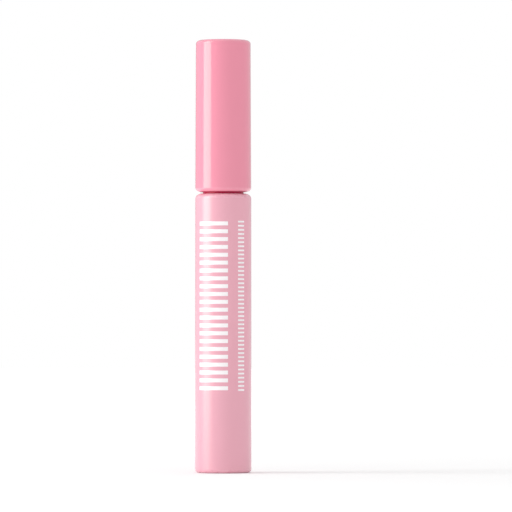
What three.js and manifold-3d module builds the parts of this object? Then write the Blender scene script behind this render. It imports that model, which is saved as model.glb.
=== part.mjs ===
// A screw-capped mascara tube, closed. A coloured shell holds a vial with a threaded neck and a wiper.
// The cap carries a wand and a moulded brush, which hang inside the vial. Millimetres, +Z up.
// The origin is the centre of the flat base that the tube stands on, and everything shares the Z axis.
import * as THREE from 'three';
import { mergeVertices } from 'three/addons/utils/BufferGeometryUtils.js';
import Module from 'manifold-3d';

const wasm = await Module();
wasm.setup();

// Driving dimensions of the outside
const BODY_RADIUS = 8.425; // where bottle and cap meet
const BOTTLE_HEIGHT = 83.85; // base to shoulder
const BOTTLE_DRAFT = 0.075; // extra radius at the base
const BASE_ROUND = [1.5, 1.1]; // the rounded edges are quarter ellipses: width, height
const SHOULDER_ROUND = [2.0, 1.45];
const PARTING_GAP = 0.5; // open line between shoulder and cap
const CAP_HEIGHT = 45.65;
const CAP_DRAFT = 0.19; // radius lost at the closed end
const CAP_END_ROUND = [1.5, 1.15];
const CAP_RIM_ROUND = [1.3, 1.15];

// Bottle walls
const SHELL_WALL = 2.1;
const SHELL_FLOOR = 1.4;
const VIAL_WALL = 0.9;
const VIAL_FLOOR = 1.0;
const VIAL_FOOT_ROUND = [1.2, 1.2];
const RING_HEIGHT = 1.6; // the ring round the neck's foot, seen in the parting gap
const NECK_HEIGHT = 13.0; // shoulder to the neck's mouth
const NECK_WALL = 0.9;
const MOUTH_CHAMFER = 0.25;

// Screw thread, the same on the neck and in the inner cap
const THREAD_PITCH = 2.5; // between neighbouring ridges
const THREAD_STARTS = 2;
const THREAD_TURNS = 1.0; // of each start
const THREAD_HEIGHT = 0.6;
const THREAD_BEAD_RADIUS = 0.7;
const THREAD_RUNNING_GAP = 0.3;
const THREAD_TOP_MARGIN = 2.0; // neck's mouth down to the last ridge
const THREAD_RUNOUT = 0.12; // share of a ridge that sinks into the wall at each end
const RING_RUNNING_GAP = 0.125; // ring to the inner cap's mouth

// Wiper and sealing washer
const WIPER_FLANGE = 0.8;
const WIPER_WALL = 0.65;
const WIPER_SLEEVE = 8.8;
const WIPER_CONE = 3.4;
const WIPER_LIP = 0.9;
const WIPER_CLEARANCE = 0.07; // wand to wiper lip
const WASHER_THICKNESS = 0.8;
const WASHER_SPIN_GAP = 0.2; // washer to the wand's collar

// Cap
const CAP_WALL = 1.35;
const CAP_END_WALL = 1.5;
const CAP_LEDGE = 0.7;
const INNER_CAP_RECESS = 0.15; // inner cap's edge above the outer cap's rim
const INNER_CAP_WALL = 0.75;
const INNER_CAP_CEILING = 1.2;
const GRIP_RIBS = 16;
const GRIP_RIB_WIDTH = 0.8;
const GRIP_RIB_DEPTH = 0.15; // between the plain band and the floor that the ribs stand on
const GRIP_RIB_INSET = 0.05; // ribs behind the plain band
const GRIP_RIB_MARGIN = 1.4; // plain skirt above and below the ribs
const BOSS_WALL = 1.4;
const BOSS_ROOF = 1.0;

// Wand and brush
const WAND_RADIUS = 2.13;
const WAND_END_RADIUS = 1.7;
const WAND_TAPER = 3.8;
const COLLAR_STEP = 0.77;
const STUB_STEP = 0.33;
const STUB_LENGTH = 6.0;
const STUB_BARB = 0.16;
const BRUSH_LENGTH = 27.5;
const BRUSH_FLOOR_GAP = 7.1; // brush tip above the vial's floor
const BRUSH_WAIST = 0.6; // bare stretch between brush and wand
const BRUSH_STEM_RADIUS = 1.0;
const BRUSH_STEM_LENGTH = 5.5;
const BRUSH_CORE_RADIUS = 1.85;
const BRUSH_TIP_ROUND = [1.3, 1.3];
const BRUSH_NOSE = 2.6; // brush tip up to the full core
const FIRST_BRISTLE = 1.95; // brush tip up to where the rows begin
const BRISTLE_NECK_GAP = 0.325; // longest bristles, beside the wand, to the neck's bore
const BRISTLE_TIP_LENGTH = 1.0; // out from the core, at the far end
const BRISTLE_ROWS = 12; // places for rows round the core
const BARE_ROWS = [4, 10]; // two faces of the core stay smooth
const BRISTLES_PER_ROW = 20;
const BRISTLE_ROOT = 0.34;
const BRISTLE_POINT = 0.12;

// Contents and clearances
const FILL_HEADSPACE = 18.0; // shoulder down to the paste's level
const BRUSH_HOLLOW_GAP = 0.25; // brush to the paste around it
const FIT_GAP = 0.1; // pieces pushed together
const SEAT_GAP = 0.1; // faces resting on each other

// Facets
const ROUND_FACETS = 48;
const BRUSH_FACETS = 24;
const CORNER_STEPS = 4;
const THREAD_SIDES = 10;
const THREAD_STEPS_PER_TURN = 24;
const MERGE_DISTANCE = 1e-5; // corners closer than this are one corner

// Radii, from the outside inwards
const capBore = BODY_RADIUS - CAP_WALL;
const innerCapRadius = capBore - FIT_GAP;
const skirtBore = innerCapRadius - INNER_CAP_WALL;
const neckCrest = skirtBore - THREAD_RUNNING_GAP;
const neckRadius = neckCrest - THREAD_HEIGHT;
const neckBore = neckRadius - NECK_WALL;
const wiperRadius = neckBore - FIT_GAP;
const wiperBore = wiperRadius - WIPER_WALL;
const wiperLip = WAND_RADIUS + WIPER_CLEARANCE;
const shellBore = BODY_RADIUS - SHELL_WALL;
const vialRadius = shellBore - FIT_GAP;
const vialBore = vialRadius - VIAL_WALL;
const ringRadius = skirtBore - RING_RUNNING_GAP;
const collarRadius = WAND_RADIUS + COLLAR_STEP;
const stubRadius = WAND_RADIUS - STUB_STEP;
const socketRadius = stubRadius + STUB_BARB + FIT_GAP;
const washerRadius = neckRadius - FIT_GAP;
const bristleBaseReach = neckBore - BRISTLE_NECK_GAP;
const bristleTipReach = BRUSH_CORE_RADIUS + BRISTLE_TIP_LENGTH;
const pasteHollow = Math.max(bristleBaseReach, bristleTipReach) + BRUSH_HOLLOW_GAP;

// Heights, from the base upwards
const vialBottom = SHELL_FLOOR + SEAT_GAP;
const vialFloor = vialBottom + VIAL_FLOOR;
const brushTip = vialFloor + BRUSH_FLOOR_GAP;
const brushBase = brushTip + BRUSH_LENGTH;
const wandEnd = brushBase + BRUSH_WAIST;
const fillTop = BOTTLE_HEIGHT - FILL_HEADSPACE;
const ringTop = BOTTLE_HEIGHT + RING_HEIGHT;
const neckTop = BOTTLE_HEIGHT + NECK_HEIGHT;
const capRim = BOTTLE_HEIGHT + PARTING_GAP;
const capTop = capRim + CAP_HEIGHT;
const wiperTop = neckTop + SEAT_GAP + WIPER_FLANGE;
const washerBottom = wiperTop + SEAT_GAP;
const washerTop = washerBottom + WASHER_THICKNESS;
const ceilingBottom = washerTop + SEAT_GAP;
const ceilingTop = ceilingBottom + INNER_CAP_CEILING;
const stubTop = ceilingBottom + STUB_LENGTH;
const bossTop = stubTop + SEAT_GAP + BOSS_ROOF;
const neckThreadStart = neckTop - THREAD_TOP_MARGIN - THREAD_TURNS * THREAD_STARTS * THREAD_PITCH;
const skirtThreadStart = neckThreadStart - THREAD_PITCH / 2;

// A quarter ellipse of profile points, as [radius, height], about a centre
function corner(radius, height, [width, rise], fromDegrees, toDegrees) {
  const points = [];
  for (let step = 0; step <= CORNER_STEPS; step += 1) {
    const turn = fromDegrees + ((toDegrees - fromDegrees) * step) / CORNER_STEPS;
    const angle = THREE.MathUtils.degToRad(turn);
    points.push([radius + width * Math.cos(angle), height + rise * Math.sin(angle)]);
  }
  return points;
}

// Positions only, shared corners merged, and the slivers on the axis left out
function tidy(geometry) {
  geometry.deleteAttribute('normal');
  geometry.deleteAttribute('uv');
  const merged = mergeVertices(geometry, MERGE_DISTANCE);
  const kept = [];
  const index = merged.index.array;
  for (let i = 0; i < index.length; i += 3) {
    const [a, b, c] = index.slice(i, i + 3);
    if (a !== b && b !== c && c !== a) kept.push(a, b, c);
  }
  merged.setIndex(kept);
  return merged;
}

// A closed piece turned about Z. The profile runs anticlockwise, with radius to the right and height up.
// It starts and ends on the axis, or closes on its first point.
function turned(profile, facets = ROUND_FACETS) {
  const onAxis = profile[0][0] === 0;
  const loop = onAxis ? profile : [...profile, profile[0]];
  const points = loop.map(([radius, height]) => new THREE.Vector2(radius, height));
  const geometry = new THREE.LatheGeometry(points, facets);
  geometry.rotateX(Math.PI / 2);
  return tidy(geometry);
}

// Booleans work on solids, and meshes show them
function toSolid(geometry) {
  const vertProperties = new Float32Array(geometry.attributes.position.array);
  const triVerts = new Uint32Array(geometry.index.array);
  return new wasm.Manifold(new wasm.Mesh({ numProp: 3, vertProperties, triVerts }));
}

function toGeometry(solid) {
  const mesh = solid.getMesh();
  const geometry = new THREE.BufferGeometry();
  geometry.setAttribute('position', new THREE.BufferAttribute(mesh.vertProperties, 3));
  geometry.setIndex(new THREE.BufferAttribute(mesh.triVerts, 1));
  return geometry;
}

// A right-handed helix whose two ends lean towards the wall that carries the ridge
class ThreadPath extends THREE.Curve {
  constructor(radius, start, startAngle, lean) {
    super();
    Object.assign(this, { radius, start, startAngle, lean });
  }

  getPoint(t, target = new THREE.Vector3()) {
    const angle = this.startAngle + 2 * Math.PI * THREAD_TURNS * t;
    const toEnd = Math.min(t, 1 - t) / THREAD_RUNOUT;
    const sink = this.lean * THREAD_HEIGHT * Math.max(0, 1 - toEnd);
    const radius = this.radius + sink;
    const height = this.start + THREAD_TURNS * THREAD_STARTS * THREAD_PITCH * t;
    return target.set(radius * Math.cos(angle), radius * Math.sin(angle), height);
  }
}

// All starts of a thread as one solid. Lean is -1 on a neck and 1 in a bore.
function threadRidges(crest, start, lean) {
  const section = new THREE.Shape();
  section.absarc(0, 0, THREAD_BEAD_RADIUS, 0, 2 * Math.PI, false);
  const centre = crest + lean * THREAD_BEAD_RADIUS;
  let ridges = null;
  for (let i = 0; i < THREAD_STARTS; i += 1) {
    const path = new ThreadPath(centre, start, (2 * Math.PI * i) / THREAD_STARTS, lean);
    const ridge = new THREE.ExtrudeGeometry(section, {
      steps: Math.round(THREAD_STEPS_PER_TURN * THREAD_TURNS),
      curveSegments: THREAD_SIDES / 2,
      extrudePath: path,
    });
    const solid = toSolid(tidy(ridge));
    ridges = ridges ? ridges.add(solid) : solid;
  }
  return ridges;
}

// The coloured outer shell: a straight cup with a rounded foot and a rounded shoulder
function bottleShell() {
  const baseRadius = BODY_RADIUS + BOTTLE_DRAFT;
  return turned([
    [0, 0],
    ...corner(baseRadius - BASE_ROUND[0], BASE_ROUND[1], BASE_ROUND, -90, 0),
    ...corner(BODY_RADIUS - SHOULDER_ROUND[0], BOTTLE_HEIGHT - SHOULDER_ROUND[1], SHOULDER_ROUND, 0, 90),
    [shellBore, BOTTLE_HEIGHT],
    [shellBore, SHELL_FLOOR],
    [0, SHELL_FLOOR],
  ]);
}

// The vial that holds the product: body, ring, and neck with its thread
function innerVial() {
  const [footWidth, footRise] = VIAL_FOOT_ROUND;
  const outside = toSolid(turned([
    [0, vialBottom],
    ...corner(vialRadius - footWidth, vialBottom + footRise, VIAL_FOOT_ROUND, -90, 0),
    [vialRadius, BOTTLE_HEIGHT],
    [ringRadius, BOTTLE_HEIGHT],
    [ringRadius, ringTop],
    [neckRadius, ringTop],
    [neckRadius, neckTop - MOUTH_CHAMFER],
    [neckRadius - MOUTH_CHAMFER, neckTop],
    [0, neckTop],
  ]));
  const shoulderInside = BOTTLE_HEIGHT - VIAL_WALL;
  const shoulderSlope = vialBore - neckBore;
  const inside = toSolid(turned([
    [0, vialFloor],
    ...corner(vialBore - footWidth, vialFloor + footRise, VIAL_FOOT_ROUND, -90, 0),
    [vialBore, shoulderInside - shoulderSlope],
    [neckBore, shoulderInside],
    [neckBore, neckTop + VIAL_FLOOR],
    [0, neckTop + VIAL_FLOOR],
  ]));
  const thread = threadRidges(neckCrest, neckThreadStart, -1);
  return toGeometry(outside.add(thread).subtract(inside));
}

// The soft wiper in the neck: flange, sleeve, cone and the lip that strips the wand
function wiper() {
  const sleeveEnd = neckTop - WIPER_SLEEVE;
  const coneEnd = sleeveEnd - WIPER_CONE;
  const lipEnd = coneEnd - WIPER_LIP;
  const lipOutside = wiperLip + WIPER_WALL;
  return turned([
    [wiperLip, lipEnd],
    [lipOutside, lipEnd],
    [lipOutside, coneEnd],
    [wiperRadius, sleeveEnd],
    [wiperRadius, neckTop + SEAT_GAP],
    [neckRadius - MOUTH_CHAMFER, neckTop + SEAT_GAP],
    [neckRadius - MOUTH_CHAMFER, wiperTop],
    [wiperBore, wiperTop],
    [wiperBore, sleeveEnd],
    [wiperLip, coneEnd],
  ]);
}

// The paste, up to its fill line, with the hollow that the brush keeps open
function mascaraFormula() {
  const radius = vialBore - FIT_GAP;
  const bottom = vialFloor + SEAT_GAP;
  const hollowBottom = brushTip - BRUSH_HOLLOW_GAP;
  return turned([
    [0, bottom],
    ...corner(radius - VIAL_FOOT_ROUND[0], bottom + VIAL_FOOT_ROUND[1], VIAL_FOOT_ROUND, -90, 0),
    [radius, fillTop],
    [pasteHollow, fillTop],
    [pasteHollow, hollowBottom],
    [0, hollowBottom],
  ]);
}

// The washer under the cap's ceiling, free to spin about the wand's collar
function sealingWasher() {
  const hole = collarRadius + WASHER_SPIN_GAP;
  return turned([
    [hole, washerBottom],
    [washerRadius, washerBottom],
    [washerRadius, washerTop],
    [hole, washerTop],
  ]);
}

// One of the upright ribs that steady the inner cap in the outer cap
function gripRib(angle, bottom, top) {
  const inside = innerCapRadius - INNER_CAP_WALL / 2;
  const outside = innerCapRadius - GRIP_RIB_INSET;
  const rib = new THREE.BoxGeometry(outside - inside, GRIP_RIB_WIDTH, top - bottom);
  rib.translate((outside + inside) / 2, 0, (top + bottom) / 2);
  rib.rotateZ(angle);
  return toSolid(tidy(rib));
}

// The threaded inner cap: ribbed skirt, and a socket for the wand in a boss on its ceiling
function innerCap() {
  const skirtBottom = capRim + INNER_CAP_RECESS;
  const bandTop = skirtBottom + GRIP_RIB_MARGIN;
  const ribTop = ceilingTop - GRIP_RIB_MARGIN;
  const ribRoot = innerCapRadius - GRIP_RIB_DEPTH;
  const bossRadius = socketRadius + BOSS_WALL;
  const plain = toSolid(turned([
    [0, skirtBottom],
    [innerCapRadius, skirtBottom],
    [innerCapRadius, bandTop],
    [ribRoot, bandTop + GRIP_RIB_DEPTH],
    [ribRoot, ceilingTop],
    [bossRadius, ceilingTop],
    [bossRadius, bossTop],
    [0, bossTop],
  ]));
  const midFacet = Math.PI / ROUND_FACETS;
  const ribBottom = bandTop - GRIP_RIB_MARGIN / 2;
  const ribs = [];
  for (let i = 0; i < GRIP_RIBS; i += 1) {
    ribs.push(gripRib(midFacet + (2 * Math.PI * i) / GRIP_RIBS, ribBottom, ribTop));
  }
  const outside = wasm.Manifold.union([plain, ...ribs]);
  const skirtInside = toSolid(turned([
    [0, capRim],
    [skirtBore, capRim],
    [skirtBore, ceilingBottom],
    [0, ceilingBottom],
  ]));
  const socket = toSolid(turned([
    [0, capRim],
    [socketRadius, capRim],
    [socketRadius, bossTop - BOSS_ROOF],
    [0, bossTop - BOSS_ROOF],
  ]));
  const skirtCrest = skirtBore - THREAD_HEIGHT;
  const thread = threadRidges(skirtCrest, skirtThreadStart, 1).intersect(outside);
  return toGeometry(outside.subtract(skirtInside).subtract(socket).add(thread));
}

// The coloured outer cap, pushed over the inner cap up to a ledge in its bore
function outerCap() {
  const endRadius = BODY_RADIUS - CAP_DRAFT;
  const ledge = ceilingTop + SEAT_GAP;
  const upperBore = capBore - CAP_LEDGE;
  return turned([
    [capBore, capRim],
    ...corner(BODY_RADIUS - CAP_RIM_ROUND[0], capRim + CAP_RIM_ROUND[1], CAP_RIM_ROUND, -90, 0),
    ...corner(endRadius - CAP_END_ROUND[0], capTop - CAP_END_ROUND[1], CAP_END_ROUND, 0, 90),
    [0, capTop],
    [0, capTop - CAP_END_WALL],
    [upperBore, capTop - CAP_END_WALL],
    [upperBore, ledge],
    [capBore, ledge],
  ]);
}

// The wand: bored tip for the brush, taper, rod, collar, and the barbed stub held in the boss
function wand() {
  const hole = BRUSH_STEM_RADIUS + FIT_GAP;
  const holeTop = brushBase + BRUSH_STEM_LENGTH + SEAT_GAP;
  const barb = stubRadius + STUB_BARB;
  const barbBottom = ceilingBottom + STUB_LENGTH / 2;
  return turned([
    [0, holeTop],
    [hole, holeTop],
    [hole, wandEnd],
    [WAND_END_RADIUS, wandEnd],
    [WAND_RADIUS, wandEnd + WAND_TAPER],
    [WAND_RADIUS, washerBottom],
    [collarRadius, washerBottom],
    [collarRadius, washerTop],
    [stubRadius, washerTop],
    [stubRadius, barbBottom],
    [barb, barbBottom],
    [stubRadius, stubTop],
    [0, stubTop],
  ]);
}

// One bristle: a short spike from the core out to the brush's outline
function bristle(angle, height) {
  const along = (height - brushTip) / BRUSH_LENGTH;
  const reach = THREE.MathUtils.lerp(bristleTipReach, bristleBaseReach, along);
  const root = BRUSH_CORE_RADIUS - BRISTLE_ROOT;
  const spike = new THREE.CylinderGeometry(BRISTLE_POINT, BRISTLE_ROOT, reach - root, 4);
  spike.translate(0, (reach + root) / 2, 0);
  spike.rotateZ(-Math.PI / 2);
  spike.rotateZ(angle);
  spike.translate(0, 0, height);
  return toSolid(tidy(spike));
}

// The moulded brush: stem, waist, core with a round end, and rows of bristles.
// Rows stand in the middle of the core's facets, and every other row is half a step further along.
function brush() {
  const tipRound = corner(0, brushTip + BRUSH_TIP_ROUND[1], BRUSH_TIP_ROUND, -90, 0).slice(1);
  const core = toSolid(turned([
    [0, brushTip],
    ...tipRound,
    [BRUSH_CORE_RADIUS, brushTip + BRUSH_NOSE],
    [BRUSH_CORE_RADIUS, brushBase],
    [BRUSH_STEM_RADIUS, brushBase],
    [BRUSH_STEM_RADIUS, brushBase + BRUSH_STEM_LENGTH],
    [0, brushBase + BRUSH_STEM_LENGTH],
  ], BRUSH_FACETS));
  const firstRow = brushTip + FIRST_BRISTLE;
  const step = (brushBase - firstRow) / (BRISTLES_PER_ROW + 0.5);
  const pieces = [core];
  for (let row = 0; row < BRISTLE_ROWS; row += 1) {
    if (BARE_ROWS.includes(row)) continue;
    const angle = (2 * Math.PI * row) / BRISTLE_ROWS + Math.PI / BRUSH_FACETS;
    const shift = row % 2 ? 0.25 : 0.75;
    for (let i = 0; i < BRISTLES_PER_ROW; i += 1) {
      pieces.push(bristle(angle, firstRow + step * (i + shift)));
    }
  }
  return toGeometry(wasm.Manifold.union(pieces));
}

const tube = new THREE.Group();

function addPiece(name, geometry, color, roughness, metalness = 0) {
  const material = new THREE.MeshStandardMaterial({ color, roughness, metalness });
  const mesh = new THREE.Mesh(geometry, material);
  mesh.name = name;
  tube.add(mesh);
}

addPiece('bottle_shell', bottleShell(), '#f3b7c8', 0.28);
addPiece('inner_vial', innerVial(), '#ee9db2', 0.35);
addPiece('wiper', wiper(), '#f2efe9', 0.6);
addPiece('mascara_formula', mascaraFormula(), '#0b090a', 0.35);
addPiece('sealing_washer', sealingWasher(), '#f4f1ec', 0.7);
addPiece('inner_cap', innerCap(), '#f1a3b6', 0.4);
addPiece('outer_cap', outerCap(), '#f29db0', 0.25);
addPiece('wand', wand(), '#1d1b1c', 0.3);
addPiece('brush', brush(), '#0d0c0d', 0.55);

export default tube;
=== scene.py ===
import bpy
import numpy as np
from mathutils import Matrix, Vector


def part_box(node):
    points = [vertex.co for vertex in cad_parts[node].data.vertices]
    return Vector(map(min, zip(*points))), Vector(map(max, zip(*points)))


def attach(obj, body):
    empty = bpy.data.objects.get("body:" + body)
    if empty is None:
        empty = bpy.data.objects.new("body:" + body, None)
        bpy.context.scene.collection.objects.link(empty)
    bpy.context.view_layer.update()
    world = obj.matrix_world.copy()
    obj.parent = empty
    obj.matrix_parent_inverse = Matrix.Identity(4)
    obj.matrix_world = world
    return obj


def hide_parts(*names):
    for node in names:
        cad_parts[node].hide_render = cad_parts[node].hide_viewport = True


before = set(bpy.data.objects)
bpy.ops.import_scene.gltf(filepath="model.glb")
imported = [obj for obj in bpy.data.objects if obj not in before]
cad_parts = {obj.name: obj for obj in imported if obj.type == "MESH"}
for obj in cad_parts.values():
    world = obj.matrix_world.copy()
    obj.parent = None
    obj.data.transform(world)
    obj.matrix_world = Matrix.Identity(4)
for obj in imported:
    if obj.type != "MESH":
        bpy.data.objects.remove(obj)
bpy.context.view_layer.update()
MM = 0.001

# ---------------------------------------------------------------------------------------------------------
# Vial: the blow-moulded pink bottle that holds the paste, pushed into the outer sleeve.
# Its colour is partly painted shade, darkened to a deep crimson so that its ring shows as the dark line
# of the shadowed gap under the cap. Two raised threads run once round its neck.
# ---------------------------------------------------------------------------------------------------------
HOLD = 0.03 * MM
ARC_STEPS = 8
SAME_RADIUS = 0.002 * MM
VIAL_SIDES = 160
VIAL_WALL = 0.9 * MM
VIAL_FLOOR = 1.0 * MM
VIAL_FOOT = 1.2 * MM
RING_STEP = 0.125 * MM
RING_HEIGHT = 1.6 * MM
RING_ROUND = 0.2 * MM
PARTING_ROUND = 0.03 * MM
NECK_STEP = 0.9 * MM
NECK_WALL = 0.9 * MM
MOUTH_OUTER_ROUND = 0.25 * MM
MOUTH_INNER_ROUND = 0.15 * MM
NECK_ROOT_ROUND = 0.35 * MM
VIAL_SHOULDER_ROUND = 0.45 * MM
THREAD_START_BELOW_MOUTH = 7.0 * MM
THREAD_LEAD = 5.0 * MM
THREAD_STARTS = 2
THREAD_HEIGHT = 0.6 * MM
THREAD_BEAD = 0.7 * MM
THREAD_RUNOUT = 0.12
THREAD_ROWS = 0.13 * MM
FLOW_STRETCH = 0.25
MOTTLE_HEIGHT = 2.0
WEAR_PATCH_SCALE = 420.0
WEAR_PATCH_LOW = 0.42
WEAR_PATCH_HIGH = 0.62
BUMP_DEPTH = 0.1 * MM


def rounded(corners, closed=False):
    """Rows of (radius, height, edge). A corner is (radius, height, reach) or (radius, height, in, out): its
    arc leaves the side before it at the first reach and meets the side after it at the second, as a quarter
    ellipse P + before * a * (1 - sin t) + after * b * (1 - cos t). A hold row past each end of the arc keeps
    the flats flat, and edge is 1 on an arc and 0 elsewhere. A reach of 0 leaves the corner sharp."""
    rows = []
    for place, (radius, height, *reach) in enumerate(corners):
        point = np.array([radius, height])
        if reach == [0]:
            rows.append([[radius, height, 0.0]])
            continue
        before = np.array(corners[place - 1][:2]) - point
        after = np.array(corners[(place + 1) % len(corners)][:2]) - point
        before /= np.linalg.norm(before)
        after /= np.linalg.norm(after)
        quarter = np.linspace(0, np.pi / 2, ARC_STEPS + 1)[:, None]
        leaving = before * reach[0] * (1 - np.sin(quarter))
        meeting = after * reach[-1] * (1 - np.cos(quarter))
        arc = point + leaving + meeting
        rows.append([[*(point + before * (reach[0] + HOLD)), 0.0]])
        rows.append(np.column_stack([arc, np.ones(len(arc))]))
        rows.append([[*(point + after * (reach[-1] + HOLD)), 0.0]])
    if closed:
        rows.append(rows[0][:1])
    return np.vstack(rows)


def stands_at(radius, side):
    """Where a radius belongs to the straight side at this other radius."""
    return np.abs(radius - side) < SAME_RADIUS


def ruled(profile, radius, above=0.0, spacing=THREAD_ROWS):
    """The profile with evenly spaced rows added on its longest straight side at this radius, above a
    given height."""
    on_side = stands_at(profile[:, 0], radius) & (profile[:, 1] > above)
    length = np.abs(np.diff(profile[:, 1]))
    first = np.argmax(np.where(on_side[:-1] & on_side[1:], length, 0))
    count = int(length[first] / spacing)
    extra = np.linspace(profile[first], profile[first + 1], count + 1)[1:-1]
    return np.insert(profile, first + 1, extra, axis=0)


def compacted(points, faces, edge):
    """The same faces on only the points that they use. Each entry of faces is an array of one face size."""
    used, renumbered = np.unique(np.concatenate([part.ravel() for part in faces]), return_inverse=True)
    sizes = np.cumsum([part.size for part in faces])[:-1]
    faces = [part.reshape(old.shape) for part, old in zip(np.split(renumbered, sizes), faces)]
    return points[used], faces, edge[used]


def revolve(profile, around, relief=None):
    """Vertices, faces and edge values of a profile turned about Z: vertex (j, i) stands in direction
    2 pi i / around at radius j plus relief(turn, height, radius). A row on the axis is a single pole."""
    radius, height, edge = profile.T[:, :, None]
    turn = 2 * np.pi * np.arange(around)[None, :] / around
    reach = radius + (relief(turn, height, radius) if relief else 0) + 0 * turn
    points = np.stack([reach * np.cos(turn), reach * np.sin(turn), height + 0 * turn], axis=-1)
    poles = radius[:, 0] < 1e-9
    closed = not poles[0]
    index = np.arange(reach.size).reshape(reach.shape)
    if closed:
        index[-1] = index[0]
    index[poles] = index[poles][:, :1]
    low, high = index[:-1], index[1:]
    quads = np.stack([low, np.roll(low, -1, 1), np.roll(high, -1, 1), high], axis=-1)
    whole = ~poles[:-1] & ~poles[1:]
    bottom = quads[:-1][poles[:-2]][:, :, [0, 2, 3]].reshape(-1, 3)
    top = quads[poles[1:]][:, :, [0, 1, 2]].reshape(-1, 3)
    faces = [quads[whole].reshape(-1, 4), bottom, top]
    return compacted(points.reshape(-1, 3), faces, (edge + 0 * turn).ravel())


def piece(name, parts, material):
    """One smooth-shaded object at the origin from a list of (vertices, faces, edge values)."""
    offsets = np.cumsum([0] + [len(points) for points, _, _ in parts])
    faces = [(part + start).tolist() for (_, groups, _), start in zip(parts, offsets) for part in groups]
    mesh = bpy.data.meshes.new(name)
    points = np.vstack([points for points, _, _ in parts])
    mesh.from_pydata(points.tolist(), [], [face for group in faces for face in group])
    values = np.concatenate([edge for _, _, edge in parts]).astype(np.float32)
    mesh.attributes.new("edge", "FLOAT", "POINT").data.foreach_set("value", values)
    mesh.shade_smooth()
    mesh.materials.append(material)
    made = bpy.data.objects.new(name, mesh)
    bpy.context.scene.collection.objects.link(made)
    return made


def bead(turn, height, start):
    """Height of the thread ridges above the wall. At turn t a ridge lies at start + lead * f, where f is the
    share of a turn since it began. At distance d from its middle the relief is sqrt(B^2 - d^2) - (B - H),
    and it fades at both ends."""
    relief = 0 * turn * height
    for begin in 2 * np.pi * np.arange(THREAD_STARTS) / THREAD_STARTS:
        share = np.mod(turn - begin, 2 * np.pi) / (2 * np.pi)
        off = height - start - THREAD_LEAD * share
        fade = np.clip(np.minimum(share, 1 - share) / THREAD_RUNOUT, 0, 1)
        crown = np.sqrt(np.clip(THREAD_BEAD ** 2 - off ** 2, 0, None)) - (THREAD_BEAD - THREAD_HEIGHT)
        relief = np.maximum(relief, crown - THREAD_HEIGHT * (1 - fade))
    return relief


def group_sockets(tree, inputs, outputs):
    """A node group's own sockets, from (name, kind, value) and (name, kind), with its two end nodes."""
    for name, kind, value in inputs:
        socket = tree.interface.new_socket(name, in_out="INPUT", socket_type=kind)
        if value is not None:
            socket.default_value = value
    for name, kind in outputs:
        tree.interface.new_socket(name, in_out="OUTPUT", socket_type=kind)
    return tree.nodes.new("NodeGroupInput"), tree.nodes.new("NodeGroupOutput")


def add(tree, kind, settings=None, **links):
    """One node, with its settings, its plain values and its incoming links by socket name. A socket that
    shares its name with another is given by its place, as i0 or i6."""
    node = tree.nodes.new(kind)
    for key, value in (settings or {}).items():
        setattr(node, key, value)
    for key, value in links.items():
        socket = node.inputs[int(key[1:])] if key[0] == "i" and key[1:].isdigit() else node.inputs[key]
        if isinstance(value, bpy.types.NodeSocket):
            tree.links.new(value, socket)
        else:
            socket.default_value = value
    return node


def ramp(tree, value, start, end, low=0.0, high=1.0):
    """A value's way from start to end as a straight, clamped way from low to high."""
    limits = {"From Min": start, "From Max": end, "To Min": low, "To Max": high}
    return add(tree, "ShaderNodeMapRange", Value=value, **limits).outputs[0]


def moulded_skin_group():
    """Moulded plastic: a slow mottle between two close colours, drawn out along the flow, and a fine pebble
    height."""
    tree = bpy.data.node_groups.new("moulded_skin", "ShaderNodeTree")
    source, sink = group_sockets(tree, [
        ("Vector", "NodeSocketVector", None), ("Color", "NodeSocketColor", None),
        ("Deep Color", "NodeSocketColor", None), ("Mottle Scale", "NodeSocketFloat", 90.0),
        ("Grain Scale", "NodeSocketFloat", 2500.0), ("Roughness", "NodeSocketFloat", 0.3),
        ("Roughness Spread", "NodeSocketFloat", 0.05)],
        [("Color", "NodeSocketColor"), ("Roughness", "NodeSocketFloat"), ("Height", "NodeSocketFloat")])
    feed = source.outputs
    drawn = add(tree, "ShaderNodeMapping", Vector=feed["Vector"], Scale=(1.0, 1.0, FLOW_STRETCH))
    mottle = add(tree, "ShaderNodeTexNoise", Vector=drawn.outputs[0], Scale=feed["Mottle Scale"], Detail=3.0)
    grain = add(tree, "ShaderNodeTexNoise", Vector=feed["Vector"], Scale=feed["Grain Scale"], Detail=2.0)
    blend = add(tree, "ShaderNodeMix", {"data_type": "RGBA"}, i0=mottle.outputs[0],
                i6=feed["Color"], i7=feed["Deep Color"])
    centred = add(tree, "ShaderNodeMath", {"operation": "SUBTRACT"}, i0=mottle.outputs[0], i1=0.5)
    rough = add(tree, "ShaderNodeMath", {"operation": "MULTIPLY_ADD"}, i0=centred.outputs[0],
                i1=feed["Roughness Spread"], i2=feed["Roughness"])
    height = add(tree, "ShaderNodeMath", {"operation": "MULTIPLY_ADD"}, i0=mottle.outputs[0],
                 i1=MOTTLE_HEIGHT, i2=grain.outputs[0])
    tree.links.new(blend.outputs[2], sink.inputs["Color"])
    tree.links.new(rough.outputs[0], sink.inputs["Roughness"])
    tree.links.new(height.outputs[0], sink.inputs["Height"])
    return tree


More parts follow.
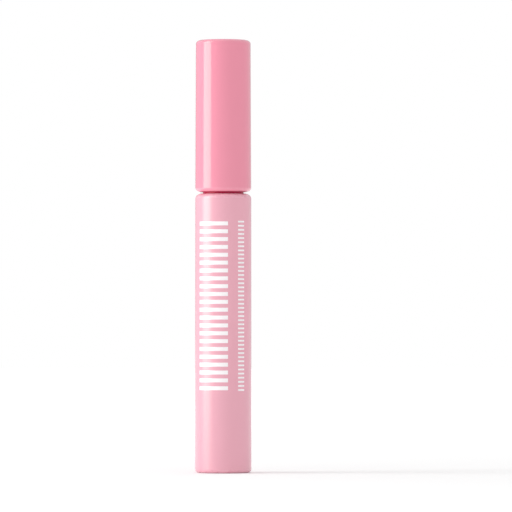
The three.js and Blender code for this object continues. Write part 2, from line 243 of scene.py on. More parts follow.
def handled_edges_group():
    """Wear where hands and other edges rub: corners go paler and duller in broken patches."""
    tree = bpy.data.node_groups.new("handled_edges", "ShaderNodeTree")
    source, sink = group_sockets(tree, [
        ("Vector", "NodeSocketVector", None), ("Edge", "NodeSocketFloat", 0.0),
        ("Color", "NodeSocketColor", None), ("Worn Color", "NodeSocketColor", None),
        ("Roughness", "NodeSocketFloat", 0.3), ("Amount", "NodeSocketFloat", 0.3),
        ("Scuff", "NodeSocketFloat", 0.1)],
        [("Color", "NodeSocketColor"), ("Roughness", "NodeSocketFloat")])
    feed = source.outputs
    patch = add(tree, "ShaderNodeTexNoise", Vector=feed["Vector"], Scale=WEAR_PATCH_SCALE, Detail=5.0,
                Roughness=0.65)
    broken = ramp(tree, patch.outputs[0], WEAR_PATCH_LOW, WEAR_PATCH_HIGH)
    worn = add(tree, "ShaderNodeMath", {"operation": "MULTIPLY"}, i0=broken, i1=feed["Edge"])
    share = add(tree, "ShaderNodeMath", {"operation": "MULTIPLY"}, i0=worn.outputs[0], i1=feed["Amount"])
    blend = add(tree, "ShaderNodeMix", {"data_type": "RGBA"}, i0=share.outputs[0],
                i6=feed["Color"], i7=feed["Worn Color"])
    rough = add(tree, "ShaderNodeMath", {"operation": "MULTIPLY_ADD"}, i0=worn.outputs[0],
                i1=feed["Scuff"], i2=feed["Roughness"])
    tree.links.new(blend.outputs[2], sink.inputs["Color"])
    tree.links.new(rough.outputs[0], sink.inputs["Roughness"])
    return tree


moulded_skin = moulded_skin_group()
handled_edges = handled_edges_group()


def rgba(red, green, blue):
    """A screen colour, 0 to 255, as the linear colour that shaders use: ((c + 0.055) / 1.055) ^ 2.4."""
    screen = np.array([red, green, blue]) / 255
    linear = np.where(screen <= 0.04045, screen / 12.92, ((screen + 0.055) / 1.055) ** 2.4)
    return (*linear.tolist(), 1.0)


def plastic(name, colour, deep, worn, roughness, spread=0.05, mottle=90.0, grain=2500.0, bump=0.02,
            wear=0.25, extra_height=None, finish=None):
    """A moulded plastic from both effects. Its finish gives the shader's other sockets plain values."""
    material = bpy.data.materials.new(name)
    material.use_nodes = True
    tree = material.node_tree
    shader = tree.nodes["Principled BSDF"]
    coordinates = tree.nodes.new("ShaderNodeTexCoord").outputs["Object"]
    skin = add(tree, "ShaderNodeGroup", {"node_tree": moulded_skin}, Vector=coordinates, Color=colour,
               Roughness=roughness, **{"Deep Color": deep, "Mottle Scale": mottle, "Grain Scale": grain,
                                       "Roughness Spread": spread})
    edge = add(tree, "ShaderNodeAttribute", {"attribute_name": "edge"})
    rub = add(tree, "ShaderNodeGroup", {"node_tree": handled_edges}, Vector=coordinates,
              Edge=edge.outputs["Fac"], Color=skin.outputs["Color"], Roughness=skin.outputs["Roughness"],
              Amount=wear, **{"Worn Color": worn})
    height = skin.outputs["Height"]
    if extra_height:
        height = extra_height(tree, coordinates, height)
    relief = add(tree, "ShaderNodeBump", Height=height, Strength=bump, Distance=BUMP_DEPTH)
    tree.links.new(rub.outputs["Color"], shader.inputs["Base Color"])
    tree.links.new(rub.outputs["Roughness"], shader.inputs["Roughness"])
    tree.links.new(relief.outputs[0], shader.inputs["Normal"])
    for socket, value in (finish or {}).items():
        shader.inputs[socket].default_value = value
    return material


vial_low, vial_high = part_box("inner_vial")
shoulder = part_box("bottle_shell")[1][2]
vial_radius = vial_high[0]
vial_bore = vial_radius - VIAL_WALL
vial_floor = vial_low[2] + VIAL_FLOOR
neck_top = vial_high[2]
neck_radius = vial_radius - NECK_STEP
neck_bore = neck_radius - NECK_WALL
ring_radius = vial_radius - RING_STEP
ring_top = shoulder + RING_HEIGHT
neck_root = shoulder - VIAL_WALL
slope_end = neck_root - vial_bore + neck_bore
neck_thread = neck_top - THREAD_START_BELOW_MOUTH
vial_profile = ruled(rounded([
    (0, vial_low[2], 0),
    (vial_radius, vial_low[2], VIAL_FOOT),
    (vial_radius, shoulder, PARTING_ROUND),
    (ring_radius, shoulder, PARTING_ROUND),
    (ring_radius, ring_top, RING_ROUND),
    (neck_radius, ring_top, RING_ROUND),
    (neck_radius, neck_top, MOUTH_OUTER_ROUND),
    (neck_bore, neck_top, MOUTH_INNER_ROUND),
    (neck_bore, neck_root, NECK_ROOT_ROUND),
    (vial_bore, slope_end, VIAL_SHOULDER_ROUND),
    (vial_bore, vial_floor, VIAL_FOOT),
    (0, vial_floor, 0),
]), neck_radius, ring_top)


def neck_relief(turn, height, radius):
    """The thread stands out from the neck's outer wall only."""
    outer_wall = stands_at(radius, neck_radius) & (height > ring_top)
    return np.where(outer_wall, np.maximum(bead(turn, height, neck_thread), 0), 0)


# Painted shade: the vial's pink is darkened to a deep crimson to give the shadowed gap under the cap.
vial_pink_painted_shade = plastic(
    "vial_pink_painted_shade", rgba(218, 48, 94), rgba(208, 40, 86), rgba(230, 84, 124), 0.36, mottle=140.0, bump=0.05,
    finish={"Specular IOR Level": 0.2, "Subsurface Weight": 0.15,
            "Subsurface Radius": (1.2 * MM, 0.5 * MM, 0.5 * MM)})
vial = piece("vial", [revolve(vial_profile, VIAL_SIDES, neck_relief)], vial_pink_painted_shade)
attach(vial, "bottle")
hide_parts("inner_vial")

# ---------------------------------------------------------------------------------------------------------
# Wiper: a soft natural polyethylene sleeve pressed into the neck, with a flange over its mouth.
# Its cone narrows to a thin lip that strips the wand.
# ---------------------------------------------------------------------------------------------------------
WIPER_SIDES = 96
WIPER_WALL = 0.65 * MM
WIPER_GAP = 0.1 * MM
WIPER_FLANGE = 0.8 * MM
WIPER_SLEEVE = 8.8 * MM
WIPER_CONE = 3.4 * MM
WIPER_LIP_GAP = 0.07 * MM
WIPER_BEND_ROUND = 0.3 * MM
LIP_ROUND = (0.08 * MM, 0.15 * MM)
FLANGE_ROOT_ROUND = 0.08 * MM
FLANGE_LOW_ROUND = 0.15 * MM
FLANGE_HIGH_ROUND = 0.2 * MM
WAND_RADIUS = 2.13 * MM

wiper_low, wiper_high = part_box("wiper")
wiper_radius = neck_bore - WIPER_GAP
wiper_bore = wiper_radius - WIPER_WALL
wiper_lip = WAND_RADIUS + WIPER_LIP_GAP
sleeve_end = neck_top - WIPER_SLEEVE
cone_end = sleeve_end - WIPER_CONE
flange_bottom = wiper_high[2] - WIPER_FLANGE
wiper_profile = rounded([
    (wiper_lip, wiper_low[2], LIP_ROUND[0]),
    (wiper_lip + WIPER_WALL, wiper_low[2], LIP_ROUND[1]),
    (wiper_lip + WIPER_WALL, cone_end, WIPER_BEND_ROUND),
    (wiper_radius, sleeve_end, WIPER_BEND_ROUND),
    (wiper_radius, flange_bottom, FLANGE_ROOT_ROUND),
    (wiper_high[0], flange_bottom, FLANGE_LOW_ROUND),
    (wiper_high[0], wiper_high[2], FLANGE_HIGH_ROUND),
    (wiper_bore, wiper_high[2], WIPER_BEND_ROUND),
    (wiper_bore, sleeve_end, WIPER_BEND_ROUND),
    (wiper_lip, cone_end, WIPER_BEND_ROUND),
], closed=True)
wiper_white = plastic(
    "wiper_white", rgba(238, 235, 228), rgba(230, 226, 217), rgba(248, 246, 240), 0.5, mottle=260.0,
    bump=0.06, wear=0.1,
    finish={"Subsurface Weight": 0.3, "Subsurface Radius": (1.0 * MM, 0.9 * MM, 0.8 * MM)})
wiper = piece("wiper_sleeve", [revolve(wiper_profile, WIPER_SIDES)], wiper_white)
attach(wiper, "bottle")
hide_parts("wiper")

# ---------------------------------------------------------------------------------------------------------
# Paste: wet black mascara that lines the vial up to its fill level.
# The brush has worked a lumpy hollow into it, a little wider than the bristles reach.
# ---------------------------------------------------------------------------------------------------------
PASTE_SIDES = 96
PASTE_HOLLOW = 4.35 * MM
PASTE_HOLLOW_FLOOR_GAP = 0.25 * MM
PASTE_LUMP = 0.12 * MM
LUMP_TURNS = (5, 3)
LUMP_HEIGHTS = (1.9 * MM, 1.3 * MM)
PASTE_ROWS = 0.5 * MM
PASTE_EDGE_ROUND = 0.12 * MM
PASTE_BRINK_ROUND = 0.5 * MM
PASTE_HOLLOW_ROUND = 0.8 * MM

paste_low, paste_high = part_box("mascara_formula")
hollow_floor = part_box("brush")[0][2] - PASTE_HOLLOW_FLOOR_GAP
paste_profile = ruled(rounded([
    (0, paste_low[2], 0),
    (paste_high[0], paste_low[2], VIAL_FOOT),
    (paste_high[0], paste_high[2], PASTE_EDGE_ROUND),
    (PASTE_HOLLOW, paste_high[2], PASTE_BRINK_ROUND),
    (PASTE_HOLLOW, hollow_floor, PASTE_HOLLOW_ROUND),
    (0, hollow_floor, 0),
]), PASTE_HOLLOW, spacing=PASTE_ROWS)


def paste_relief(turn, height, radius):
    """The hollow's wall gives way outwards by a product of waves in turn and height, never inwards."""
    rising = np.sin(LUMP_TURNS[0] * turn + height / LUMP_HEIGHTS[0])
    falling = np.sin(LUMP_TURNS[1] * turn - height / LUMP_HEIGHTS[1])
    return np.where(stands_at(radius, PASTE_HOLLOW), PASTE_LUMP * (1 + rising * falling), 0)


paste_black = plastic(
    "paste_black", rgba(20, 17, 19), rgba(9, 7, 9), rgba(30, 26, 29), 0.2, spread=0.2, mottle=400.0,
    grain=1200.0, bump=0.5, wear=0.1, finish={"Coat Weight": 0.5})
paste = piece("paste", [revolve(paste_profile, PASTE_SIDES, paste_relief)], paste_black)
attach(paste, "bottle")
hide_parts("mascara_formula")

# ---------------------------------------------------------------------------------------------------------
# Bottle sleeve: injection-moulded light pink cup with a soft satin lacquer and a slight draft.
# Its foot is rounded, and its shoulder rolls in to the parting line.
# ---------------------------------------------------------------------------------------------------------
SLEEVE_SIDES = 192
SLEEVE_WALL = 2.1 * MM
SLEEVE_FLOOR = 1.4 * MM
SLEEVE_FOOT = (1.5 * MM, 1.1 * MM)
SLEEVE_SHOULDER = (1.45 * MM, 2.0 * MM)
SLEEVE_INNER_ROUND = 0.3 * MM
VIAL_GAP = 0.1 * MM

sleeve_low, sleeve_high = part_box("bottle_shell")
sleeve_bore = vial_radius + VIAL_GAP
body_radius = sleeve_bore + SLEEVE_WALL
sleeve_profile = rounded([
    (0, sleeve_low[2], 0),
    (sleeve_high[0], sleeve_low[2], *SLEEVE_FOOT),
    (body_radius, shoulder, *SLEEVE_SHOULDER),
    (sleeve_bore, shoulder, PARTING_ROUND),
    (sleeve_bore, SLEEVE_FLOOR, SLEEVE_INNER_ROUND),
    (0, SLEEVE_FLOOR, 0),
])
sleeve_pink = plastic(
    "sleeve_pink", rgba(236, 172, 187), rgba(233, 167, 183), rgba(246, 202, 213), 0.24, spread=0.04,
    mottle=70.0, bump=0.03, wear=0.2, finish={"Coat Weight": 0.42, "Coat Roughness": 0.19})
sleeve = piece("bottle_sleeve", [revolve(sleeve_profile, SLEEVE_SIDES)], sleeve_pink)
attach(sleeve, "bottle")
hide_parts("bottle_shell")

# ---------------------------------------------------------------------------------------------------------
# Print: white pad-printed ink on the sleeve's front, as a ladder of equal bars and a row of short dashes.
# It is a plain ornament, a thin film that follows the sleeve's round side.
# ---------------------------------------------------------------------------------------------------------
INK_LIFT = 0.02 * MM
INK_SINK = 0.03 * MM
PRINT_BOTTOM = 24.3 * MM
PRINT_TOP = 75.9 * MM
BAR_SPAN = np.radians([-56, 10])
BAR_COUNT = 22
BAR_HALF = 0.6 * MM
DASH_SPAN = np.radians([32, 48])
DASH_COUNT = 42
DASH_HALF = 0.26 * MM
BAR_SECTIONS = 28


def ink_bars(count, span, half):
    """Closed strips round the sleeve, evenly spaced up it. Each is a rectangle in section, from below the
    skin to the top of the film, and reaches the given half height above and below its middle."""
    share = np.linspace(0, 1, BAR_SECTIONS)[None, :, None]
    pitch = (PRINT_TOP - PRINT_BOTTOM) / count
    middle = PRINT_BOTTOM + pitch * (np.arange(count)[:, None, None] + 0.5)
    corner_height = np.array([-1, -1, 1, 1])
    corner_lift = np.array([-INK_SINK, INK_LIFT, INK_LIFT, -INK_SINK])
    height = middle + corner_height * half + 0 * share
    skin = sleeve_high[0] + (body_radius - sleeve_high[0]) * height / shoulder
    angle = span[0] + (span[1] - span[0]) * share
    radius = skin + corner_lift
    points = np.stack([radius * np.sin(angle), -radius * np.cos(angle), height], axis=-1)
    index = np.arange(count * BAR_SECTIONS * 4).reshape(count, BAR_SECTIONS, 4)
    here, ahead = index[:, :-1], index[:, 1:]
    sides = np.stack([here, ahead, np.roll(ahead, -1, 2), np.roll(here, -1, 2)], axis=-1)
    faces = [sides.reshape(-1, 4), index[:, 0], index[:, -1, ::-1]]
    return points.reshape(-1, 3), faces, np.zeros(points.size // 3)


print_white = plastic(
    "print_white", rgba(253, 250, 251), rgba(249, 244, 246), rgba(244, 214, 222), 0.3, mottle=500.0,
    bump=0.05, wear=0.0)
shell_print = piece("shell_print", [
    ink_bars(BAR_COUNT, BAR_SPAN, BAR_HALF),
    ink_bars(DASH_COUNT, DASH_SPAN, DASH_HALF),
], print_white)
shell_print.data.shade_flat()
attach(shell_print, "bottle")

# ---------------------------------------------------------------------------------------------------------
# Brush: one black elastomer moulding with a domed core, ten rows of spikes and two smooth faces.
# Its stem is pressed into the wand's bored tip.
# ---------------------------------------------------------------------------------------------------------
BRUSH_LENGTH = 27.5 * MM
CORE_SIDES = 64
CORE_RADIUS = 1.85 * MM
CORE_TIP = 1.3 * MM
BRUSH_NOSE = 2.6 * MM
FIRST_BRISTLE = 1.95 * MM
STEM_RADIUS = 1.0 * MM
SPIKE_PLACES = 12
BARE_PLACES = (4, 10)
SPIKES_PER_ROW = 20
SPIKE_BASE_REACH = 4.08 * MM
SPIKE_TIP_REACH = 2.83 * MM
SPIKE_ROOT = 0.33 * MM
SPIKE_POINT = 0.11 * MM
SPIKE_SIDES = 8
SPIKE_SHARES = np.array([0.0, 0.3, 0.6, 0.85, 0.96, 1.0])
SPIKE_ROUNDING = np.array([1.0, 1.0, 1.0, 1.0, 0.75])
EVEN_ROW_START = 0.75
ODD_ROW_START = 0.25
FACE_TURN = np.radians(7.5)
NOSE_ROUND = 1.1 * MM
NOSE_END_ROUND = 0.8 * MM
CORE_BASE_ROUND = 0.3 * MM
STEM_ROOT_ROUND = 0.1 * MM
STEM_END_ROUND = 0.2 * MM

brush_low, brush_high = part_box("brush")
brush_base = brush_low[2] + BRUSH_LENGTH
core_profile = rounded([
    (0, brush_low[2], 0),
    (CORE_TIP, brush_low[2], NOSE_ROUND),
    (CORE_RADIUS, brush_low[2] + BRUSH_NOSE, NOSE_END_ROUND),
    (CORE_RADIUS, brush_base, CORE_BASE_ROUND),
    (STEM_RADIUS, brush_base, STEM_ROOT_ROUND),
    (STEM_RADIUS, brush_high[2], STEM_END_ROUND),
    (0, brush_high[2], 0),
])


def spikes():
    """All bristles at once. Bristle (row, n) runs out from inside the core's skin along its row's direction.
    At share k of its length its radius is root + (point - root) * k, closed by a rounded end, and the odd
    rows begin half a step nearer the tip."""
    row = np.array([place for place in range(SPIKE_PLACES) if place not in BARE_PLACES])
    angle = (2 * np.pi * row / SPIKE_PLACES + FACE_TURN)[:, None]
    first = brush_low[2] + FIRST_BRISTLE
    step = (brush_base - first) / (SPIKES_PER_ROW + 0.5)
    start = np.where(row % 2, ODD_ROW_START, EVEN_ROW_START)[:, None]
    along = first + step * (np.arange(SPIKES_PER_ROW)[None, :] + start)
    fraction = (along - brush_low[2]) / BRUSH_LENGTH
    reach = SPIKE_TIP_REACH + (SPIKE_BASE_REACH - SPIKE_TIP_REACH) * fraction
    tapered = SPIKE_ROOT + (SPIKE_POINT - SPIKE_ROOT) * SPIKE_SHARES[:-1]
    width = np.append(tapered * SPIKE_ROUNDING, 0.0)
    inner = CORE_RADIUS - SPIKE_ROOT
    out = inner + (reach - inner)[..., None, None] * SPIKE_SHARES[:, None]
    side = 2 * np.pi * np.arange(SPIKE_SIDES) / SPIKE_SIDES
    across = width[:, None] * np.cos(side) + 0 * out
    up = along[..., None, None] + width[:, None] * np.sin(side) + 0 * out
    direction = angle[..., None, None]
    x = out * np.cos(direction) - across * np.sin(direction)
    y = out * np.sin(direction) + across * np.cos(direction)
    points = np.stack([x, y, up], axis=-1)
    index = np.arange(points.size // 3).reshape(-1, len(SPIKE_SHARES), SPIKE_SIDES)
    index[:, -1] = index[:, -1, :1]
    low, high = index[:, :-2], index[:, 1:-1]
    sides = np.stack([low, np.roll(low, -1, 2), np.roll(high, -1, 2), high], axis=-1).reshape(-1, 4)
    last = index[:, -2]
    ends = np.stack([last, np.roll(last, -1, 1), index[:, -1]], axis=-1).reshape(-1, 3)
    faces = [sides, ends, index[:, 0, ::-1]]
    return compacted(points.reshape(-1, 3), faces, np.zeros(points.size // 3))


brush_black = plastic(
    "brush_black", rgba(22, 20, 21), rgba(15, 14, 15), rgba(44, 42, 44), 0.45, mottle=300.0, grain=4000.0,
    bump=0.15, wear=0.4, finish={"Specular IOR Level": 0.12})
brush = piece("brush_moulding", [revolve(core_profile, CORE_SIDES), spikes()], brush_black)
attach(brush, "applicator")
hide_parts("brush")

# ---------------------------------------------------------------------------------------------------------
# Wand: a glossy black acetal rod with a tapered tip, a collar against the washer and a barbed stub.
# The stub is driven up into the inner cap's boss.
# ---------------------------------------------------------------------------------------------------------
WAND_SIDES = 96
WAND_END_RADIUS = 1.7 * MM
WAND_TAPER = 3.8 * MM
STUB_STEP = 0.33 * MM
STUB_BARB = 0.16 * MM
STUB_LENGTH = 6.0 * MM
STEM_GAP = 0.1 * MM
BORED_TIP_ROUND = 0.1 * MM
WAND_END_ROUND = 0.25 * MM
WAND_TAPER_ROUND = 0.8 * MM
COLLAR_ROOT_ROUND = 0.1 * MM
COLLAR_ROUND = 0.15 * MM
STUB_ROOT_ROUND = 0.08 * MM
BARB_ROUND = (0.03 * MM, 0.04 * MM)
STUB_END_ROUND = 0.25 * MM
FLOW_LINE_STRETCH = 0.02
FLOW_LINE_SCALE = 3000.0

wand_low, wand_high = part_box("wand")
washer_low, washer_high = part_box("sealing_washer")
stub_radius = WAND_RADIUS - STUB_STEP
barb_bottom = wand_high[2] - STUB_LENGTH / 2
bore_radius = STEM_RADIUS + STEM_GAP
bore_end = brush_high[2] + STEM_GAP
wand_profile = rounded([
    (0, bore_end, 0),
    (bore_radius, bore_end, BORED_TIP_ROUND),
    (bore_radius, wand_low[2], BORED_TIP_ROUND),
    (WAND_END_RADIUS, wand_low[2], WAND_END_ROUND),
    (WAND_RADIUS, wand_low[2] + WAND_TAPER, WAND_TAPER_ROUND),
    (WAND_RADIUS, washer_low[2], COLLAR_ROOT_ROUND),
    (wand_high[0], washer_low[2], COLLAR_ROUND),
    (wand_high[0], washer_high[2], COLLAR_ROUND),
    (stub_radius, washer_high[2], STUB_ROOT_ROUND),
    (stub_radius, barb_bottom, BARB_ROUND[0]),
    (stub_radius + STUB_BARB, barb_bottom, BARB_ROUND[1]),
    (stub_radius, wand_high[2], STUB_END_ROUND),
    (0, wand_high[2], 0),
])


def flow_lines(tree, coordinates, height):
    """Fine lines drawn out along the rod, as left by the mould."""
    drawn = add(tree, "ShaderNodeMapping", Vector=coordinates, Scale=(1.0, 1.0, FLOW_LINE_STRETCH))
    lines = add(tree, "ShaderNodeTexNoise", Vector=drawn.outputs[0], Scale=FLOW_LINE_SCALE, Detail=1.0)
    return add(tree, "ShaderNodeMath", {"operation": "ADD"}, i0=height, i1=lines.outputs[0]).outputs[0]


wand_black = plastic(
    "wand_black", rgba(24, 22, 23), rgba(18, 16, 17), rgba(62, 58, 60), 0.2, mottle=160.0, bump=0.04,
    wear=0.3, extra_height=flow_lines, finish={"Specular IOR Level": 0.25})
wand = piece("wand_rod", [revolve(wand_profile, WAND_SIDES)], wand_black)
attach(wand, "applicator")
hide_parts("wand")

# ---------------------------------------------------------------------------------------------------------
# Sealing washer: a punched disc of fine white closed-cell foam under the inner cap's ceiling.
# It seals the neck's mouth and is free to spin about the wand's collar.
# ---------------------------------------------------------------------------------------------------------
WASHER_SIDES = 96
WASHER_GAP = 0.2 * MM
WASHER_HOLE_ROUND = 0.1 * MM
WASHER_RIM_ROUND = 0.15 * MM
CELLS_PER_METRE = 6000.0

washer_hole = wand_high[0] + WASHER_GAP
washer_profile = rounded([
    (washer_hole, washer_low[2], WASHER_HOLE_ROUND),
    (washer_high[0], washer_low[2], WASHER_RIM_ROUND),
    (washer_high[0], washer_high[2], WASHER_RIM_ROUND),
    (washer_hole, washer_high[2], WASHER_HOLE_ROUND),
], closed=True)


def foam_cells(tree, coordinates, height):
    """Closed cells about a sixth of a millimetre across, as the distance to the nearest cell's middle."""
    cells = add(tree, "ShaderNodeTexVoronoi", Vector=coordinates, Scale=CELLS_PER_METRE)
    return add(tree, "ShaderNodeMath", {"operation": "ADD"}, i0=height, i1=cells.outputs[0]).outputs[0]


washer_white = plastic(
    "washer_white", rgba(243, 240, 235), rgba(232, 228, 221), rgba(250, 248, 244), 0.75, mottle=800.0,
    bump=0.5, wear=0.1, extra_height=foam_cells)
washer = piece("foam_washer", [revolve(washer_profile, WASHER_SIDES)], washer_white)
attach(washer, "washer")
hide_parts("sealing_washer")

# ---------------------------------------------------------------------------------------------------------
# Inner cap: moulded pink polypropylene with the mating thread in its skirt and a boss for the wand.
# Sixteen low ribs round the skirt steady it in the outer cap.
# ---------------------------------------------------------------------------------------------------------
LINER_SIDES = 240
LINER_WALL = 0.75 * MM
LINER_CEILING = 1.2 * MM
LINER_BAND = 1.4 * MM
RIB_COUNT = 16
RIB_WIDTH = 0.8 * MM
RIB_FLOOR = 0.15 * MM
RIB_HEIGHT = 0.1 * MM
RIB_EASE = 0.4 * MM
RIB_ROWS = 0.3 * MM
RIB_BAND_ROUND = 0.05 * MM
BOSS_WALL = 1.4 * MM
BOSS_ROOF = 1.0 * MM
SOCKET_GAP = 0.1 * MM
CEILING_GAP = 0.1 * MM
THREAD_OFFSET = -1.25 * MM
SOCKET_END_ROUND = 0.2 * MM
SOCKET_MOUTH_ROUND = 0.12 * MM
CEILING_ROUND = 0.2 * MM
SKIRT_INNER_ROUND = 0.12 * MM
SKIRT_OUTER_ROUND = 0.15 * MM
LINER_SHOULDER_ROUND = 0.25 * MM
BOSS_ROUND = 0.3 * MM

liner_low, liner_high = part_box("inner_cap")
liner_radius = liner_high[0]
skirt_bore = liner_radius - LINER_WALL
rib_root = liner_radius - RIB_FLOOR
socket_radius = stub_radius + STUB_BARB + SOCKET_GAP
boss_radius = socket_radius + BOSS_WALL
ceiling_low = washer_high[2] + CEILING_GAP
ceiling_high = ceiling_low + LINER_CEILING
band_top = liner_low[2] + LINER_BAND
rib_top = ceiling_high - LINER_BAND
liner_profile = ruled(ruled(rounded([
    (0, liner_high[2] - BOSS_ROOF, 0),
    (socket_radius, liner_high[2] - BOSS_ROOF, SOCKET_END_ROUND),
    (socket_radius, ceiling_low, SOCKET_MOUTH_ROUND),
    (skirt_bore, ceiling_low, CEILING_ROUND),
    (skirt_bore, liner_low[2], SKIRT_INNER_ROUND),
    (liner_radius, liner_low[2], SKIRT_OUTER_ROUND),
    (liner_radius, band_top, RIB_BAND_ROUND),
    (rib_root, band_top + RIB_FLOOR, RIB_BAND_ROUND),
    (rib_root, ceiling_high, LINER_SHOULDER_ROUND),
    (boss_radius, ceiling_high, BOSS_ROUND),
    (boss_radius, liner_high[2], BOSS_ROUND),
    (0, liner_high[2], 0),
]), skirt_bore), rib_root, spacing=RIB_ROWS)


def liner_relief(turn, height, radius):
    """The thread stands into the bore. Outside, a rib falls off with the arc s from its middle, as
    H * clip((W / 2 - s) / H + 1 / 2, 0, 1), and eases off towards its top by a clipped ramp too."""
    pitch = 2 * np.pi / RIB_COUNT
    arc = np.abs(np.mod(turn + pitch / 2, pitch) - pitch / 2) * rib_root
    rib = np.clip((RIB_WIDTH / 2 - arc) / RIB_HEIGHT + 0.5, 0, 1)
    rib = rib * np.clip((rib_top - height) / RIB_EASE, 0, 1)
    thread = np.maximum(bead(turn, height, neck_thread + THREAD_OFFSET), 0)
    inside = np.where(stands_at(radius, skirt_bore), -thread, 0)
    return inside + np.where(stands_at(radius, rib_root), RIB_HEIGHT * rib, 0)


liner_pink = plastic(
    "liner_pink", rgba(236, 140, 165), rgba(229, 130, 156), rgba(245, 178, 196), 0.4, mottle=140.0,
    bump=0.06)
liner = piece("cap_liner", [revolve(liner_profile, LINER_SIDES, liner_relief)], liner_pink)
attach(liner, "applicator")
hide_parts("inner_cap")

# ---------------------------------------------------------------------------------------------------------
# Outer cap: injection-moulded rose pink sleeve with a high-gloss lacquer, pushed over the inner cap.
# Its rim rolls in to the parting line, and its closed end is flat with a rounded edge.
# ---------------------------------------------------------------------------------------------------------
CAP_SIDES = 192
CAP_END_WALL = 1.5 * MM
CAP_LEDGE = 0.7 * MM
CAP_DRAFT = 0.19 * MM
CAP_END_ROUND = (1.15 * MM, 1.5 * MM)
CAP_RIM_ROUND = (1.25 * MM, 1.15 * MM)
CAP_INNER_ROUND = 0.5 * MM
CAP_LEDGE_ROUND = 0.15 * MM
LINER_GAP = 0.1 * MM

cap_low, cap_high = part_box("outer_cap")
cap_bore = liner_radius + LINER_GAP
cap_ledge = ceiling_high + CEILING_GAP
cap_ceiling = cap_high[2] - CAP_END_WALL
cap_profile = rounded([
    (0, cap_ceiling, 0),
    (cap_bore - CAP_LEDGE, cap_ceiling, CAP_INNER_ROUND),
    (cap_bore - CAP_LEDGE, cap_ledge, CAP_LEDGE_ROUND),
    (cap_bore, cap_ledge, CAP_LEDGE_ROUND),
    (cap_bore, cap_low[2], PARTING_ROUND),
    (cap_high[0], cap_low[2], *CAP_RIM_ROUND),
    (cap_high[0] - CAP_DRAFT, cap_high[2], *CAP_END_ROUND),
    (0, cap_high[2], 0),
])
cap_pink = plastic(
    "cap_pink", rgba(240, 147, 168), rgba(237, 142, 164), rgba(248, 180, 196), 0.14, spread=0.03,
    mottle=60.0, bump=0.015, wear=0.15, finish={"Coat Weight": 0.6, "Coat Roughness": 0.06})
cap = piece("cap_sleeve", [revolve(cap_profile, CAP_SIDES)], cap_pink)
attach(cap, "applicator")
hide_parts("outer_cap")

# ---------------------------------------------------------------------------------------------------------
# Studio: a matt white table whose glow grows outwards, and white surroundings, brightest overhead, with a
# dark flag behind on the left. The table's weaker glow near the tube is a painted shadow round its foot.
# On the left stand two strips of light that show in gloss only, and a soft fill that shows in the dull
# part only.
# ---------------------------------------------------------------------------------------------------------
TABLE_SIZE = 8.0
TABLE_WHITE = (0.96, 0.96, 0.96, 1.0)
TABLE_SHADE = (0.93, 0.93, 0.93, 1.0)
TABLE_MOTTLE = 30.0
TABLE_GLOW = 0.3
# Painted shadow round the tube's foot: near the tube the table's glow falls to this share, and it grows to
# full between these distances in metres.
PAINTED_SHADOW_GLOW = 0.15
PAINTED_SHADOW_CORE = 0.06
PAINTED_SHADOW_REACH = 0.8
SKY_FRONT = 0.735
SKY_BACK = 0.695
CEILING_START = 0.6
CEILING_GAIN = 1.6
LAMP_DISTANCE = 0.6
STRIP_AZIMUTH = np.radians(70.4)
FILL_AZIMUTH = np.radians(82)
LAMP_WIDTH = 0.4
STRIP_WARM = (1.0, 0.98, 0.75)
WHITE = (1.0, 1.0, 1.0)
# A lamp is its bottom and top in metres and its radiance.
STRIP_LOW = (-0.06, 0.7, 3.4)
STRIP_HIGH = (0.08, 0.7, 4.6)
FILL = (-0.06, 0.5, 3.9)
FLAG = (-0.5, 0.866, 0.0)
FLAG_WHOLE = 0.97
FLAG_GONE = 0.8
FLAG_SHADE = 0.75
CAMERA_PLACE = (0.00984, -1.5, 0.043)
CAMERA_AIM = (0.00984, 0.0, 0.0651)
CAMERA_LENS = 351.0
CAMERA_SENSOR = 36.0

bpy.ops.mesh.primitive_plane_add(size=TABLE_SIZE, location=(0, 0, 0))
table = bpy.context.object
table.name = "table"
table_white = bpy.data.materials.new("table_white")
table_white.use_nodes = True
table_tree = table_white.node_tree
table_shader = table_tree.nodes["Principled BSDF"]
table_noise = add(table_tree, "ShaderNodeTexNoise", Scale=TABLE_MOTTLE)
table_mix = add(table_tree, "ShaderNodeMix", {"data_type": "RGBA"}, i0=table_noise.outputs[0],
                i6=TABLE_SHADE, i7=TABLE_WHITE)
table_place = table_tree.nodes.new("ShaderNodeTexCoord").outputs["Object"]
table_reach = add(table_tree, "ShaderNodeVectorMath", {"operation": "LENGTH"}, i0=table_place)
# The glow, weaker near the tube, paints a soft shadow round its foot.
table_glow_painted_shadow = ramp(table_tree, table_reach.outputs["Value"], PAINTED_SHADOW_CORE, PAINTED_SHADOW_REACH, PAINTED_SHADOW_GLOW, 1.0)
table_tree.links.new(table_mix.outputs[2], table_shader.inputs["Base Color"])
table_tree.links.new(table_glow_painted_shadow, table_shader.inputs["Emission Color"])
table_shader.inputs["Emission Strength"].default_value = TABLE_GLOW
table_shader.inputs["Roughness"].default_value = 0.5
table_shader.inputs["Specular IOR Level"].default_value = 0.0
table.data.materials.append(table_white)

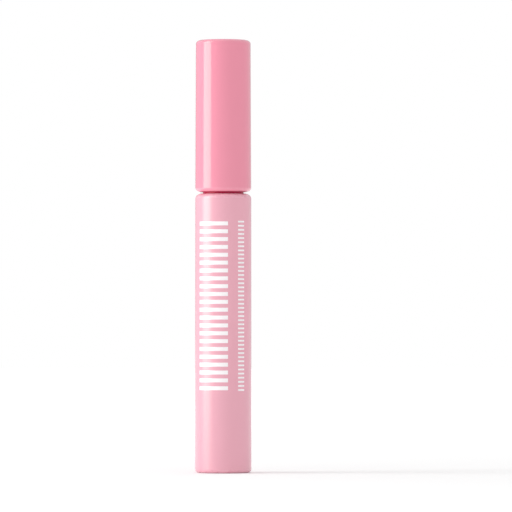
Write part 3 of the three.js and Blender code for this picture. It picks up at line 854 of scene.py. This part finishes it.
world = bpy.data.worlds.new("studio")
world.use_nodes = True
bpy.context.scene.world = world
sky = world.node_tree
sky.nodes.clear()
outlook = sky.nodes.new("ShaderNodeTexCoord").outputs["Generated"]
split = add(sky, "ShaderNodeSeparateXYZ", Vector=outlook)
facing = add(sky, "ShaderNodeVectorMath", {"operation": "DOT_PRODUCT"}, i0=outlook, i1=FLAG)
around = ramp(sky, split.outputs["Y"], -1.0, 1.0, SKY_FRONT, SKY_BACK)
flag = ramp(sky, facing.outputs["Value"], FLAG_GONE, FLAG_WHOLE, 1.0, FLAG_SHADE)
ceiling = ramp(sky, split.outputs["Z"], CEILING_START, 1.0, 1.0, CEILING_GAIN)
shaded = add(sky, "ShaderNodeMath", {"operation": "MULTIPLY"}, i0=around, i1=flag)
raised = add(sky, "ShaderNodeMath", {"operation": "MULTIPLY"}, i0=shaded.outputs[0], i1=ceiling)
lit = add(sky, "ShaderNodeBackground", Color=(*WHITE, 1.0), Strength=raised.outputs[0])
seen = add(sky, "ShaderNodeBackground", Color=(*WHITE, 1.0), Strength=1.0)
path = sky.nodes.new("ShaderNodeLightPath")
choice = sky.nodes.new("ShaderNodeMixShader")
sky.links.new(path.outputs["Is Camera Ray"], choice.inputs[0])
sky.links.new(lit.outputs[0], choice.inputs[1])
sky.links.new(seen.outputs[0], choice.inputs[2])
sky.links.new(choice.outputs[0], sky.nodes.new("ShaderNodeOutputWorld").inputs["Surface"])


def soft_lamp(name, bottom, top, radiance, azimuth, colour, shows_in_gloss):
    """An upright rectangle of light on the left, turned to the tube's axis. Its power is
    radiance * pi * area. It shows either in gloss only or in the dull part of a surface only."""
    light = bpy.data.lights.new(name, "AREA")
    light.shape = "RECTANGLE"
    light.color = colour
    light.size = LAMP_WIDTH
    light.size_y = top - bottom
    light.energy = radiance * np.pi * LAMP_WIDTH * (top - bottom)
    lamp = bpy.data.objects.new(name, light)
    bpy.context.scene.collection.objects.link(lamp)
    lamp.visible_glossy = shows_in_gloss
    lamp.visible_diffuse = not shows_in_gloss
    middle = (bottom + top) / 2
    lamp.location = (-LAMP_DISTANCE * np.sin(azimuth), -LAMP_DISTANCE * np.cos(azimuth), middle)
    lamp.rotation_euler = (Vector((0, 0, middle)) - lamp.location).to_track_quat("-Z", "Y").to_euler()


soft_lamp("strip_low", *STRIP_LOW, STRIP_AZIMUTH, STRIP_WARM, shows_in_gloss=True)
soft_lamp("strip_high", *STRIP_HIGH, STRIP_AZIMUTH, STRIP_WARM, shows_in_gloss=True)
soft_lamp("fill", *FILL, FILL_AZIMUTH, WHITE, shows_in_gloss=False)

camera = bpy.data.objects.new("camera", bpy.data.cameras.new("camera"))
bpy.context.scene.collection.objects.link(camera)
camera.location = CAMERA_PLACE
camera.rotation_euler = (Vector(CAMERA_AIM) - Vector(CAMERA_PLACE)).to_track_quat("-Z", "Y").to_euler()
camera.data.lens = CAMERA_LENS
camera.data.sensor_width = CAMERA_SENSOR
bpy.context.scene.camera = camera
bpy.context.scene.view_settings.view_transform = "Standard"
